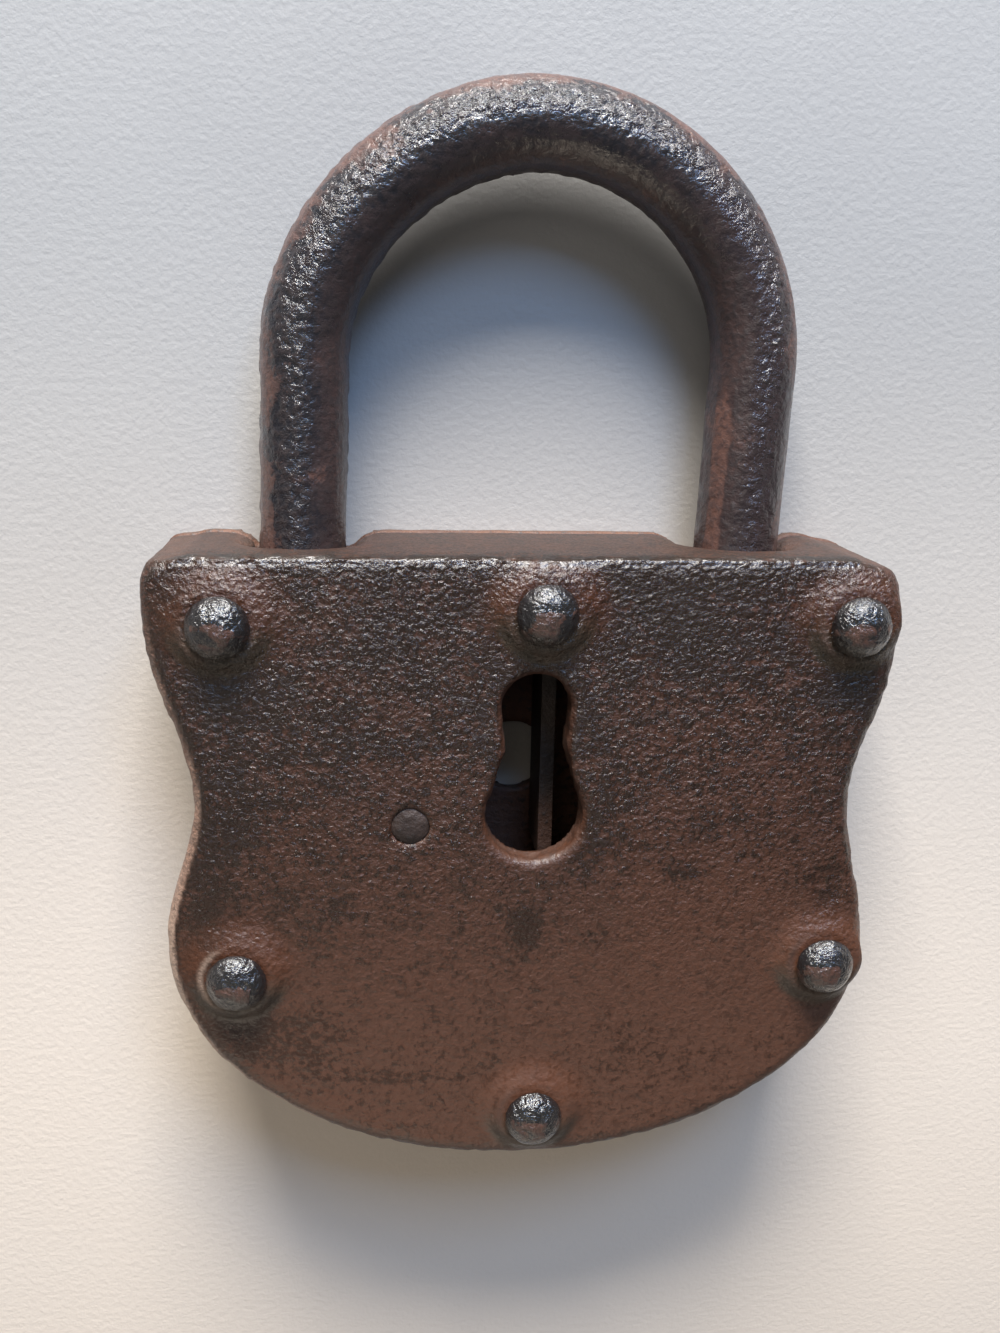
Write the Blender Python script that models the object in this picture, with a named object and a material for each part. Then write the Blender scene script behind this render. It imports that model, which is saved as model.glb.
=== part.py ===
"""Cast-iron padlock, antique pattern, lying on its flat back with the front face up.

X runs to the right and Y up the lock, both as seen from the front. Z runs from the back plate to the
front face. Every size below is in millimetres. Mesh data is turned into metres where it is made.
The lock is unlocked and its shackle is seated: the bolt is drawn back, clear of the right leg.
"""

import math

import bmesh
import bpy
from mathutils import Matrix, Vector

MM = 0.001

# Case: outline of the front face. The casting isn't quite even, so each side has its own sizes.
# Reaches are from the keyhole's upright line, X = 0. Drops are from the top edge, Y = 0.
# A shoulder's rim is its reach beyond the middle of the rivet in it.
SHOULDER_RIM_LEFT = 8.3
SHOULDER_RIM_RIGHT = 4.6
SHOULDER_DROP_LEFT = 8.5
SHOULDER_DROP_RIGHT = 13.0
WAIST_LEFT = 47.3
WAIST_RIGHT = 46.6
WAIST_DROP = 36.0
HIP_LEFT = 52.2
HIP_RIGHT = 50.9
HIP_DROP_LEFT = 59.0
HIP_DROP_RIGHT = 62.0
BELLY_DROP = 95.0
CORNER_LEFT = 4.5
CORNER_RIGHT = 6.5
BODY_DEPTH = 27.0
EDGE_ROUND = 3.0
DRAFT = 0.6
TOP_SHARE = 0.3
FRONT_WALL = 4.5
SIDE_WALL = 5.4
TOP_WALL = 5.6
PLATE_THICKNESS = 2.6
PLATE_CHAMFER = 0.5

# Clearances
SEAM = 0.3
RIVET_PLAY = 0.3
SEAT_GAP = 0.2
SLIDE_PLAY = 0.35

# Rivets: the pattern sits a little to the right of the outline, as cast
PATTERN_SHIFT = 1.1
TOP_RIVET_DROP = 9.2
CENTRE_RIVET_DROP = 7.4
SIDE_RIVET_HALF = 45.4
SIDE_RIVET_DROP = 63.5
BOTTOM_RIVET_DROP = 88.8
RIVET_SHANK = 1.9
RIVET_LEG_GAP = 1.86
RIVET_HEAD = 4.8
RIVET_HEAD_HEIGHT = 3.4
RIVET_TAIL = 3.0
TAIL_DEPTH = 1.1
TAIL_RECESS = 0.15
BOSS_RADIUS = 4.0
COLLAR_BASE = 7.0
COLLAR_TOP = 5.0
COLLAR_HEIGHT = 1.2

# Shackle: a hooped bar that leans a little to the right in its loose holes.
# A fullness of 2 is an ellipse, and less is flatter between the leg and the top.
LEG_HALF = 33.7
ARCH_RISE = 32.6
ARCH_HEIGHT = 27.6
ARCH_FULL_LEFT = 1.85
ARCH_FULL_RIGHT = 2.0
SHORT_RADIUS = 6.7
LONG_RADIUS = 6.65
SHACKLE_SHIFT = -0.52
LEAN = math.radians(1.7)
SHORT_DEPTH = 25.0
LONG_DEPTH = 56.0
LEG_CHAMFER = 1.0
LIFT = 28.0
HOLE_SHIFT = -0.1
HOLE_PLAY = 0.9
HOLE_DISH = 4.2
DISH_DEPTH = 2.6

# Keyhole: a slot above a round hole, for a key whose bit points up
KEY_X = 0.2
KEY_DROP = 38.4
KEY_ROUND = 6.9
KEY_SLOT_TOP = 4.6
KEY_SLOT_WAIST = 4.05
KEY_SLOT_DROP = 21.7
KEY_WAIST_DROP = 28.2
KEY_CHAMFER = 0.7
TAIL_HOLE_RADIUS = 5.8
TAIL_HOLE_X = -0.9
TAIL_HOLE_DROP = 37.0

# Bolt: a plate with two key walls, thrown to the right into the short leg
BOLT_THICKNESS = 4.0
BOLT_BAR_HEIGHT = 6.0
BOLT_THROW = 5.0
BOLT_BITE = 4.4
NOTCH_PLAY = 0.9
WALL_THICKNESS = 2.2
WALL_DEPTH = 12.0
KEY_WALL_X = 2.3
KEY_WALL_DROP = 50.0
BACK_WALL_X = -8.8
BACK_WALL_DROP = 30.0
LOBE_WIDTH = 14.2
LOBE_DROP = 46.0

# Studs, stop pin and spring
STUD_OFFSET = 0.2
STUD_DROP = 39.9
STUD_RADIUS = 2.2
STUD_RECESS = 0.2
NOSE_STUD_BACK = 8.9
NOSE_STUD_RADIUS = 1.3
NOSE_STUD_HEAD = 2.5
NOSE_STUD_HEAD_HEIGHT = 1.4
STOP_PIN_DROP = 21.0
STOP_PIN_RADIUS = 2.0
PIN_PLAY = 0.9
STOP_GROOVE = 2.6
SPRING_THICKNESS = 0.9
SPRING_WIDTH = 7.0
SPRING_SPAN = 14.5
SPRING_BOW = 4.6
POST_RADIUS = 1.8
RIB_WIDTH = 4.0
RIB_DROPS_LONG = (13.0, 36.0)
RIB_DROP_SHORT = 9.5

# Derived places. Those that follow another piece are taken to the nearest tenth.
EDGE = EDGE_ROUND + DRAFT
LEG_SIDE = LEG_HALF - SHACKLE_SHIFT + LONG_RADIUS + TOP_RIVET_DROP * math.sin(LEAN)
TOP_RIVET_HALF = round(LEG_SIDE + RIVET_SHANK + RIVET_LEG_GAP + PATTERN_SHIFT, 1)
SHOULDER_LEFT = TOP_RIVET_HALF - PATTERN_SHIFT + SHOULDER_RIM_LEFT
SHOULDER_RIGHT = TOP_RIVET_HALF + PATTERN_SHIFT + SHOULDER_RIM_RIGHT
SHACKLE_TOP = ARCH_HEIGHT + ARCH_RISE + (SHORT_RADIUS + LONG_RADIUS) / 2
BODY_BOTTOM = BELLY_DROP + EDGE
MIDDLE = (SHACKLE_TOP - BODY_BOTTOM) / 2
CENTRE = (SHOULDER_RIGHT - SHOULDER_LEFT) / 2
LEG_Z = PLATE_THICKNESS + SEAM + SHORT_RADIUS
FACE_Z = BODY_DEPTH
CAVITY_Z = BODY_DEPTH - FRONT_WALL
CASE_BACK_Z = PLATE_THICKNESS + SEAM
RIB_Z = LEG_Z + max(SHORT_RADIUS, LONG_RADIUS) + SLIDE_PLAY
BAR_TOP = -(CENTRE_RIVET_DROP + BOSS_RADIUS + SLIDE_PLAY + 0.2)
BAR_BOTTOM = BAR_TOP - BOLT_BAR_HEIGHT
BAR_MIDDLE = (BAR_TOP + BAR_BOTTOM) / 2
RIVETS = {
    "rivet_top_left": (PATTERN_SHIFT - TOP_RIVET_HALF, -TOP_RIVET_DROP),
    "rivet_top_centre": (PATTERN_SHIFT, -CENTRE_RIVET_DROP),
    "rivet_top_right": (PATTERN_SHIFT + TOP_RIVET_HALF, -TOP_RIVET_DROP),
    "rivet_side_left": (PATTERN_SHIFT - SIDE_RIVET_HALF, -SIDE_RIVET_DROP),
    "rivet_side_right": (PATTERN_SHIFT + SIDE_RIVET_HALF, -SIDE_RIVET_DROP),
    "rivet_bottom": (PATTERN_SHIFT, -BOTTOM_RIVET_DROP),
}


def clear_scene():
    for item in list(bpy.data.objects):
        bpy.data.objects.remove(item, do_unlink=True)


def make_material(name, colour, roughness, metallic):
    material = bpy.data.materials.new(name)
    material.use_nodes = True
    shader = material.node_tree.nodes["Principled BSDF"]
    shader.inputs["Base Color"].default_value = (*colour, 1.0)
    shader.inputs["Roughness"].default_value = roughness
    shader.inputs["Metallic"].default_value = metallic
    return material


def place(x, y, z):
    """Turns a place in lock millimetres into metres, with the object's middle at X = 0 and Y = 0."""
    return Vector(((x - CENTRE) * MM, (y - MIDDLE) * MM, z * MM))


def make_object(name, bm, material=None, smooth=True):
    """Makes an object from a bmesh that holds lock millimetres."""
    bmesh.ops.recalc_face_normals(bm, faces=bm.faces)
    for vertex in bm.verts:
        vertex.co = place(*vertex.co)
    for face in bm.faces:
        face.smooth = smooth
    mesh = bpy.data.meshes.new(name)
    bm.to_mesh(mesh)
    bm.free()
    if smooth:
        mesh.set_sharp_from_angle(angle=math.radians(35))
    item = bpy.data.objects.new(name, mesh)
    bpy.context.scene.collection.objects.link(item)
    if material:
        mesh.materials.append(material)
    return item


def loft(rings, name, material=None, smooth=True):
    """Joins rings of equal length into one closed skin with a flat cap at each end."""
    bm = bmesh.new()
    layers = [[bm.verts.new(point) for point in ring] for ring in rings]
    count = len(layers[0])
    for lower, upper in zip(layers, layers[1:]):
        for i in range(count):
            j = (i + 1) % count
            bm.faces.new((lower[i], lower[j], upper[j], upper[i]))
    bm.faces.new(list(reversed(layers[0])))
    bm.faces.new(layers[-1])
    return make_object(name, bm, material, smooth)


def prism(outline, low, high, name, material=None):
    return loft([[(x, y, z) for x, y in outline] for z in (low, high)], name, material, smooth=False)


def corners_of(x_span, y_span):
    return [(x_span[i], y_span[j]) for i, j in ((0, 0), (1, 0), (1, 1), (0, 1))]


def box(x_span, y_span, z_span, name):
    return prism(corners_of(x_span, y_span), z_span[0], z_span[1], name)


def circle(centre, radius, count=32):
    steps = [2 * math.pi * i / count for i in range(count)]
    return [(centre[0] + radius * math.cos(a), centre[1] + radius * math.sin(a)) for a in steps]


def turned(centre, profile, name, material=None, count=32):
    """A turned solid about a Z axis. The profile runs from one flat end to the other as (radius, z)."""
    rings = [[(x, y, z) for x, y in circle(centre, radius, count)] for radius, z in profile]
    return loft(rings, name, material)


def arc(centre, radii, start, end, count):
    """Points on an elliptic arc, both ends included. Angles are in degrees."""
    angles = [math.radians(start + (end - start) * i / count) for i in range(count + 1)]
    return [(centre[0] + radii[0] * math.cos(a), centre[1] + radii[1] * math.sin(a)) for a in angles]


def slot_outline(centre, half_length, radius, count=10):
    """A level slot with round ends."""
    right = arc((centre[0] + half_length, centre[1]), (radius, radius), -90, 90, count)
    left = arc((centre[0] - half_length, centre[1]), (radius, radius), 90, 270, count)
    return right + left


def change(target, tool, operation="DIFFERENCE"):
    """Cuts the target with a tool, or joins the tool to it. The tool is hidden."""
    step = target.modifiers.new(tool.name, "BOOLEAN")
    step.operation = operation
    step.solver = "EXACT"
    step.object = tool
    tool.hide_render = True
    tool.display_type = "WIRE"


def wave(top, bottom, count):
    """Side points on a half wave from one upright stretch to the next, from the top down."""
    points = []
    for i in range(1, count + 1):
        t = i / count
        blend = (1 - math.cos(math.pi * t)) / 2
        points.append((top[0] + (bottom[0] - top[0]) * blend, top[1] + (bottom[1] - top[1]) * t))
    return points


def side_outline(shoulder, waist, hip, corner):
    """One side from the top edge to the belly's lowest point. Each place is a reach and a drop."""
    points = arc((shoulder[0] - corner, -corner), (corner, corner), 90, 0, 8)
    points += [(shoulder[0], -shoulder[1])]
    points += wave((shoulder[0], -shoulder[1]), (waist[0], -waist[1]), 14)
    points += wave((waist[0], -waist[1]), (hip[0], -hip[1]), 12)
    return points + arc((0, -hip[1]), (hip[0], BELLY_DROP - hip[1]), 0, -90, 28)[1:]


def face_outline():
    """The front face: square shoulders, hollow sides and a round belly, clockwise from the top."""
    right = side_outline((SHOULDER_RIGHT, SHOULDER_DROP_RIGHT), (WAIST_RIGHT, WAIST_DROP),
                         (HIP_RIGHT, HIP_DROP_RIGHT), CORNER_RIGHT)
    left = side_outline((SHOULDER_LEFT, SHOULDER_DROP_LEFT), (WAIST_LEFT, WAIST_DROP),
                        (HIP_LEFT, HIP_DROP_LEFT), CORNER_LEFT)
    return right + [(-x, y) for x, y in reversed(left[:-1])]


def edge_share(normal):
    """The top edge is cast crisp, and takes only a share of the rounding that the others have."""
    t = min(max((normal.y - 0.5) / 0.45, 0.0), 1.0)
    return 1 - (1 - TOP_SHARE) * t * t * (3 - 2 * t)


def outline_frames():
    """Each outline point with its outward normal and its share of the edge rounding."""
    points = [Vector(point) for point in face_outline()]
    frames = []
    for i, point in enumerate(points):
        run = (points[(i + 1) % len(points)] - point).normalized() + (point - points[i - 1]).normalized()
        normal = Vector((-run.y, run.x)).normalized()
        frames.append((point, normal, edge_share(normal)))
    return frames


def body_ring(out, depth):
    """A ring of the body's skin, pushed outward and set back from the front face."""
    ring = []
    for point, normal, share in outline_frames():
        shifted = point + normal * out * share
        ring.append((shifted.x, shifted.y, FACE_Z - depth * share))
    return ring


def level_ring(out, z):
    return [(x, y, z) for x, y, _ in body_ring(out, 0)]


def keyhole_outline(grow=0.0):
    """The keyhole, grown evenly for its worn rim."""
    top = arc((KEY_X, -KEY_SLOT_DROP), (KEY_SLOT_TOP + grow,) * 2, 0, 180, 16)
    left = (KEY_X - KEY_SLOT_WAIST - grow, -KEY_WAIST_DROP)
    right = (KEY_X + KEY_SLOT_WAIST + grow, -KEY_WAIST_DROP)
    low = arc((KEY_X, -KEY_DROP), (KEY_ROUND + grow,) * 2, 152, 388, 26)
    return top + [left] + low + [right]


def leg_place(side, drop):
    """A point on a leg's axis, at a drop below the case's top edge. Side is -1 for left, 1 for right."""
    lean = Matrix.Rotation(-LEAN, 2)
    return lean @ Vector((side * LEG_HALF, -drop)) + Vector((SHACKLE_SHIFT, 0))


def cavity_outline():
    """The inside of the side wall, closed at the top by the straight top wall."""
    ceiling = EDGE * TOP_SHARE - TOP_WALL
    sides = [(x, y) for x, y, _ in level_ring(EDGE - SIDE_WALL, 0) if y < ceiling - 1]
    return [(sides[-1][0], ceiling), (sides[0][0], ceiling)] + sides


def make_front_case(material):
    """One casting: face, side wall, rivet bosses and collars, guide ribs and spring posts."""
    steps = [math.radians(90 * i / 5) for i in range(5, -1, -1)]
    rings = [level_ring(EDGE, CASE_BACK_Z)]
    rings += [body_ring(EDGE_ROUND * math.sin(a), EDGE_ROUND * (1 - math.cos(a))) for a in steps]
    case = loft(rings, "front_case", material)
    change(case, prism(cavity_outline(), CASE_BACK_Z - 2, CAVITY_Z, "cutter_cavity"))

    for name, centre in RIVETS.items():
        boss = prism(circle(centre, BOSS_RADIUS), CASE_BACK_Z + SEAM, CAVITY_Z + 1, "tool_boss_" + name)
        change(case, boss, "UNION")
        collar = [(COLLAR_BASE + 0.5, FACE_Z - 0.5), (COLLAR_BASE - 0.1, FACE_Z + 0.1)]
        collar += [(COLLAR_BASE - 0.8, FACE_Z + 0.3), (COLLAR_TOP + 0.5, FACE_Z + 0.65)]
        collar += [(COLLAR_TOP, FACE_Z + COLLAR_HEIGHT)]
        change(case, turned(centre, collar, "tool_collar_" + name), "UNION")

    for side, drops in ((-1, RIB_DROPS_LONG), (1, (RIB_DROP_SHORT,))):
        for drop in drops:
            middle = leg_place(side, drop).x
            y_span = (-drop - RIB_WIDTH / 2, -drop + RIB_WIDTH / 2)
            rib = box((middle - 5, middle + 5), y_span, (RIB_Z, CAVITY_Z + 1), f"tool_rib_{side}_{drop}")
            change(case, rib, "UNION")
    for x, y in spring_posts():
        post = prism(circle((x, y), POST_RADIUS, 20), CASE_BACK_Z + 1.5, CAVITY_Z + 1, f"tool_post_{x:.0f}")
        change(case, post, "UNION")

    for side, radius, depth in ((-1, LONG_RADIUS, LONG_DEPTH), (1, SHORT_RADIUS, SHORT_DEPTH)):
        change(case, leg_hole(side, radius, depth + 2, f"cutter_hole_{side}"))
        change(case, leg_dish(side, radius, f"cutter_dish_{side}"))
    change(case, prism(keyhole_outline(), CAVITY_Z - 1, FACE_Z + 1, "cutter_keyhole"))
    rim = [[(x, y, FACE_Z - KEY_CHAMFER) for x, y in keyhole_outline()]]
    rim += [[(x, y, FACE_Z + KEY_CHAMFER) for x, y in keyhole_outline(2 * KEY_CHAMFER)]]
    change(case, loft(rim, "cutter_keyhole_rim", smooth=False))
    for name, centre in RIVETS.items():
        hole = circle(centre, RIVET_SHANK + RIVET_PLAY, 24)
        change(case, prism(hole, CASE_BACK_Z - 1, FACE_Z + 3, "cutter_" + name))
    stud = circle((stud_x(), -STUD_DROP), STUD_RADIUS + RIVET_PLAY, 24)
    change(case, prism(stud, CAVITY_Z - 1, FACE_Z + 1, "cutter_stud"))
    return case


def hole_section(side, radius, drop, grow=0.0):
    """The U-shaped outline of a leg's hole, open to the back, at a drop below the top edge."""
    centre = leg_place(side, drop).x + HOLE_SHIFT
    wide = radius + HOLE_PLAY + grow
    section = [(centre + wide, -5.0)] + arc((centre, LEG_Z), (wide, wide), 0, 180, 20)
    return [(x, -drop, z) for x, z in section + [(centre - wide, -5.0)]]


def leg_hole(side, radius, depth, name):
    """A hole for a leg, open to the back so that the shackle drops in before the plate."""
    rings = [hole_section(side, radius, drop) for drop in (depth, -EDGE - 4)]
    return loft(rings, name, smooth=False)


def leg_dish(side, radius, name):
    """A worn, dished lip round a leg's hole, through case and back plate alike."""
    top = EDGE * TOP_SHARE
    steps = ((1.0, -0.1), (0.6, 0.12), (0.3, 0.38), (0.1, 0.72), (0.0, 1.0), (-0.25, 1.2))
    rings = [hole_section(side, radius, share * DISH_DEPTH - top, HOLE_DISH * grow) for share, grow in steps]
    return loft(rings, name, smooth=False)


def make_back_plate(material):
    """A flat plate over the open back, with the key's tail hole and countersunk rivet tails."""
    rings = [level_ring(EDGE - PLATE_CHAMFER, 0), level_ring(EDGE, PLATE_CHAMFER)]
    rings += [level_ring(EDGE, PLATE_THICKNESS)]
    plate = loft(rings, "back_plate", material)
    hole = circle((TAIL_HOLE_X, -TAIL_HOLE_DROP), TAIL_HOLE_RADIUS)
    change(plate, prism(hole, -1, PLATE_THICKNESS + 1, "cutter_tail_hole"))
    for side, radius in ((-1, LONG_RADIUS), (1, SHORT_RADIUS)):
        change(plate, leg_dish(side, radius, f"cutter_plate_dish_{side}"))
    for name, centre in RIVETS.items():
        wide = RIVET_TAIL + RIVET_PLAY
        bore = RIVET_SHANK + RIVET_PLAY
        profile = [(wide, -1), (wide, TAIL_RECESS), (bore, TAIL_RECESS + TAIL_DEPTH)]
        profile += [(bore, PLATE_THICKNESS + 1)]
        change(plate, turned(centre, profile, "cutter_plate_" + name, count=24))
    bore = circle((nose_stud_x(), BAR_MIDDLE), NOSE_STUD_RADIUS + RIVET_PLAY, 20)
    change(plate, prism(bore, -1, PLATE_THICKNESS + 1, "cutter_nose_stud"))
    return plate


def make_rivet(name, centre, material):
    """A domed rivet: head on the collar, shank through boss and plate, tail flush in the back."""
    seat = FACE_Z + COLLAR_HEIGHT + SEAT_GAP
    profile = [(RIVET_TAIL, TAIL_RECESS), (RIVET_SHANK, TAIL_RECESS + TAIL_DEPTH), (RIVET_SHANK, seat)]
    profile += [(RIVET_HEAD, seat)]
    for i in range(1, 7):
        a = math.radians(84 * i / 6)
        profile.append((RIVET_HEAD * math.cos(a), seat + RIVET_HEAD_HEIGHT * math.sin(a)))
    return turned(centre, profile, name, material)


def shackle_path():
    """Points on the bar's axis with its radius there, in the shackle's own upright frame."""
    stations = [((-LEG_HALF, -LONG_DEPTH), LONG_RADIUS - LEG_CHAMFER)]
    stations += [((-LEG_HALF, LEG_CHAMFER - LONG_DEPTH), LONG_RADIUS), ((-LEG_HALF, 0), LONG_RADIUS)]
    for i in range(41):
        a = math.pi * (1 - i / 40)
        power = 2 / (ARCH_FULL_LEFT if i < 20 else ARCH_FULL_RIGHT)
        x = math.copysign(LEG_HALF * abs(math.cos(a)) ** power, math.cos(a))
        y = ARCH_HEIGHT + ARCH_RISE * abs(math.sin(a)) ** power
        radius = LONG_RADIUS + (SHORT_RADIUS - LONG_RADIUS) * i / 40
        stations.append(((x, y), radius))
    stations += [((LEG_HALF, 0), SHORT_RADIUS), ((LEG_HALF, LEG_CHAMFER - SHORT_DEPTH), SHORT_RADIUS)]
    stations += [((LEG_HALF, -SHORT_DEPTH), SHORT_RADIUS - LEG_CHAMFER)]
    return stations


def leaned(points):
    """Leans points of the shackle's own frame to the right and sets them in the case."""
    turn = Matrix.Rotation(-LEAN, 3, "Z")
    return [turn @ Vector(point) + Vector((SHACKLE_SHIFT, 0, 0)) for point in points]


def shackle_box(x_span, y_span, name):
    """A full-depth block in the shackle's frame."""
    levels = (LEG_Z - SHORT_RADIUS - 2.4, LEG_Z + SHORT_RADIUS + 2.4)
    rings = [leaned([(x, y, z) for x, y in corners_of(x_span, y_span)]) for z in levels]
    return loft(rings, name, smooth=False)


def make_shackle(material):
    """One bar: long captive leg on the left, short leg with the bolt's notch on the right."""
    stations = shackle_path()
    rings = []
    for i, (point, radius) in enumerate(stations):
        ahead = Vector(stations[min(i + 1, len(stations) - 1)][0])
        behind = Vector(stations[max(i - 1, 0)][0])
        run = (ahead - behind).normalized()
        across = Vector((run.y, -run.x))
        ring = []
        for step in range(28):
            a = 2 * math.pi * step / 28
            x, y = Vector(point) + across * radius * math.cos(a)
            ring.append((x, y, LEG_Z + radius * math.sin(a)))
        rings.append(leaned(ring))
    shackle = loft(rings, "shackle", material)

    inside = LEG_HALF - SHORT_RADIUS
    rise = (inside + BOLT_BITE / 2) * math.sin(LEAN)
    notch_y = (BAR_BOTTOM - NOTCH_PLAY + rise, BAR_TOP + NOTCH_PLAY + rise)
    notch = shackle_box((inside - 3, inside + BOLT_BITE + NOTCH_PLAY), notch_y, "cutter_notch")
    change(shackle, notch)
    flat = -LEG_HALF + LONG_RADIUS - STOP_GROOVE
    reach = STOP_PIN_RADIUS + SEAM
    groove_low = -STOP_PIN_DROP - LIFT - reach
    groove = ((flat, flat + 2 * LONG_RADIUS), (groove_low, -STOP_PIN_DROP + reach))
    change(shackle, shackle_box(*groove, "cutter_groove"))
    change(shackle, neck_cutter(groove_low, groove_low + 2 * reach))
    pivot = bpy.data.objects.new("shackle_slide", None)
    bpy.context.scene.collection.objects.link(pivot)
    pivot.location = place(SHACKLE_SHIFT, 0, LEG_Z)
    hold_place(shackle, pivot)
    return shackle


def neck_cutter(low, high):
    """A ring groove at the foot of the long leg, which lets the raised shackle swing."""
    wide = LONG_RADIUS + 2
    narrow = LONG_RADIUS - STOP_GROOVE
    bm = bmesh.new()
    corners = ((narrow, low), (wide, low), (wide, high), (narrow, high))
    layers = []
    for step in range(28):
        a = 2 * math.pi * (step + 0.5) / 28
        ring = leaned([(-LEG_HALF + r * math.cos(a), y, LEG_Z + r * math.sin(a)) for r, y in corners])
        layers.append([bm.verts.new(point) for point in ring])
    for i, layer in enumerate(layers):
        after = layers[(i + 1) % len(layers)]
        for j in range(4):
            k = (j + 1) % 4
            bm.faces.new((layer[j], layer[k], after[k], after[j]))
    return make_object("cutter_neck", bm, smooth=False)


def hold_place(item, pivot):
    """Parents an object to a pivot without moving it."""
    bpy.context.view_layer.update()
    item.parent = pivot
    item.matrix_parent_inverse = pivot.matrix_world.inverted()


def nose_tip():
    """Where the bolt's nose ends at rest: short of the right leg by the slide's play."""
    return leg_place(1, -BAR_MIDDLE).x - SHORT_RADIUS - (BOLT_THROW - BOLT_BITE)


def nose_stud_x():
    return round(nose_tip() - NOSE_STUD_BACK, 1)


def stop_pin_place():
    """The stop pin stands in the long leg's groove, clear of its flat."""
    local = Vector((-LEG_HALF + LONG_RADIUS - STOP_GROOVE + STOP_PIN_RADIUS + SEAM, -STOP_PIN_DROP))
    return Matrix.Rotation(-LEAN, 2) @ local + Vector((SHACKLE_SHIFT, 0))


def lobe_span():
    """The bolt's lobe ends beside the stop pin."""
    left = round(stop_pin_place().x + STOP_PIN_RADIUS + PIN_PLAY, 1)
    return left, left + LOBE_WIDTH


def stud_x():
    return sum(lobe_span()) / 2 + STUD_OFFSET


def make_bolt(material):
    """One casting: nose bar, lobe with the stud's slot, and two walls that the key pushes."""
    lobe_left, lobe_right = lobe_span()
    low = LEG_Z - BOLT_THICKNESS / 2
    high = LEG_Z + BOLT_THICKNESS / 2
    tip = nose_tip()
    outline = [(tip, BAR_BOTTOM + 1.2), (tip, BAR_TOP - 1.2), (tip - 1.2, BAR_TOP)]
    outline += [(lobe_left + 2, BAR_TOP), (lobe_left, BAR_TOP - 2)]
    outline += [(lobe_left, -LOBE_DROP + 2), (lobe_left + 2, -LOBE_DROP)]
    outline += [(lobe_right - 2, -LOBE_DROP), (lobe_right, -LOBE_DROP + 2)]
    outline += [(lobe_right, BAR_BOTTOM - 2), (lobe_right + 2, BAR_BOTTOM), (tip - 1.2, BAR_BOTTOM)]
    bolt = prism(outline, low, high, "bolt", material)
    wall_z = (LEG_Z - WALL_DEPTH / 2, LEG_Z + WALL_DEPTH / 2)
    top = BAR_TOP - 0.6
    for x, drop, name in ((KEY_WALL_X, KEY_WALL_DROP, "key"), (BACK_WALL_X, BACK_WALL_DROP, "back")):
        near = x if name == "key" else x - WALL_THICKNESS
        wall = box((near, near + WALL_THICKNESS), (-drop, top), wall_z, "tool_wall_" + name)
        change(bolt, wall, "UNION")
    travel = BOLT_THROW / 2 + SLIDE_PLAY
    lobe = ("lobe", stud_x(), -STUD_DROP, STUD_RADIUS)
    nose = ("nose", nose_stud_x(), BAR_MIDDLE, NOSE_STUD_RADIUS)
    for name, x, y, radius in (lobe, nose):
        slot = slot_outline((x - BOLT_THROW / 2, y), travel, radius + SLIDE_PLAY)
        change(bolt, prism(slot, low - 1, high + 1, f"cutter_{name}_slot"))
    return bolt


def make_bolt_stud(material):
    """Guides the bolt's lobe. Its flush end shows on the front face."""
    profile = [(STUD_RADIUS, CASE_BACK_Z), (STUD_RADIUS, FACE_Z - STUD_RECESS - 0.4)]
    profile += [(STUD_RADIUS - 0.4, FACE_Z - STUD_RECESS)]
    return turned((stud_x(), -STUD_DROP), profile, "bolt_stud", material, 24)


def make_nose_stud(material):
    """Guides the bolt's nose bar. It is riveted in the back plate and headed over the bolt."""
    seat = LEG_Z + BOLT_THICKNESS / 2 + SLIDE_PLAY
    profile = [(NOSE_STUD_RADIUS, TAIL_RECESS), (NOSE_STUD_RADIUS, seat), (NOSE_STUD_HEAD, seat)]
    profile += [(NOSE_STUD_HEAD, seat + NOSE_STUD_HEAD_HEIGHT * 0.6)]
    profile += [(NOSE_STUD_HEAD * 0.7, seat + NOSE_STUD_HEAD_HEIGHT)]
    return turned((nose_stud_x(), BAR_MIDDLE), profile, "nose_stud", material, 20)


def make_stop_pin(material):
    """Stands between plate and face wall in the long leg's groove, and stops the lift."""
    profile = [(STOP_PIN_RADIUS, CASE_BACK_Z), (STOP_PIN_RADIUS, CAVITY_Z - SEAM)]
    return turned(stop_pin_place(), profile, "shackle_stop_pin", material, 20)


def spring_posts():
    """Two cast posts that carry the ends of the spring under the bolt's lobe."""
    middle = sum(lobe_span()) / 2
    drop = LOBE_DROP + SLIDE_PLAY + SPRING_BOW + SPRING_THICKNESS + SEAM + POST_RADIUS
    return [(middle + side * SPRING_SPAN / 2, -drop) for side in (-1, 1)]


def make_spring(material):
    """A bowed flat spring that holds the bolt where the key left it."""
    middle = sum(lobe_span()) / 2
    half = SPRING_SPAN / 2 + POST_RADIUS - 0.3
    crown = -LOBE_DROP - SLIDE_PLAY
    upper = []
    for i in range(21):
        t = i / 10 - 1
        upper.append((middle + half * t, crown - SPRING_BOW * (1 - math.cos(math.pi * t / 2))))
    lower = [(x, y - SPRING_THICKNESS) for x, y in reversed(upper)]
    return prism(upper + lower, LEG_Z - SPRING_WIDTH / 2, LEG_Z + SPRING_WIDTH / 2, "bolt_spring", material)


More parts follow.
